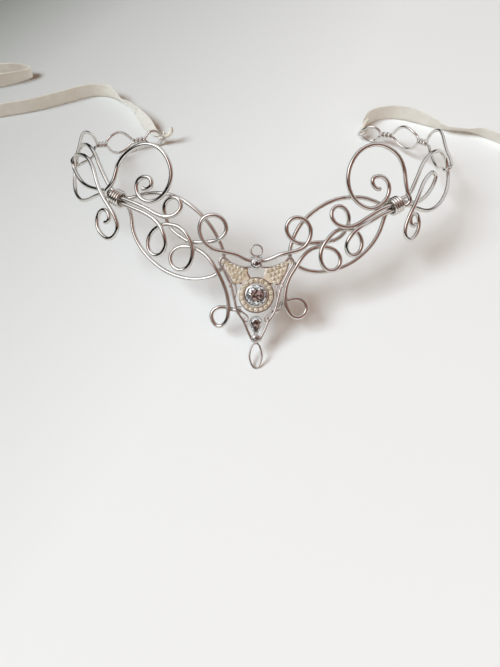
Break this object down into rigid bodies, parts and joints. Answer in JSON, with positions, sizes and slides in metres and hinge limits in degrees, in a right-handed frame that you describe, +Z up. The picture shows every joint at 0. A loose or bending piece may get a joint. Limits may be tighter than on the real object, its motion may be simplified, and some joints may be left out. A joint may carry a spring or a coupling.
{
  "type": "wirework circlet tiara with ribbon ties",
  "caption": "Open circlet tiara of scrolled bright wire with a jewelled drop at the front, twisted wire ends and satin ribbon ties at the back.",
  "frame": {"origin": "Middle of the box round the tiara without its ribbons and knots, at the level of the table it rests on", "axes": "+Z up from the table, -Y towards the drop at the front, +X along the tiara's width; the tiara rests on the tip of its drop and on its twisted back ends"},
  "size_m": [0.3516, 0.2413, 0.0616],
  "materials": {
    "wire": "bright drawn wire",
    "drop_metal": "bright plated casting",
    "clear_stone": "cut and polished",
    "champagne_stone": "cut and polished",
    "ribbon": "satin weave"
  },
  "bodies": {
    "root": {"upper_wire_left": "wire", "upper_wire_right": "wire", "lower_wire_left": "wire", "lower_wire_right": "wire", "leaf_wire_left": "wire", "leaf_wire_right": "wire", "binding_coil_left": "wire", "binding_coil_right": "wire", "back_chain_left": "wire", "back_chain_right": "wire", "drop_frame": "drop_metal", "centre_stone": "clear_stone", "top_stone": "clear_stone", "pear_stone": "clear_stone", "end_stone": "clear_stone", "halo_stones": "champagne_stone", "field_stones_left": "champagne_stone", "field_stones_right": "champagne_stone", "knot_left": "ribbon", "knot_right": "ribbon", "ribbon_left": "ribbon", "ribbon_right": "ribbon"}
  },
  "joints": []
}
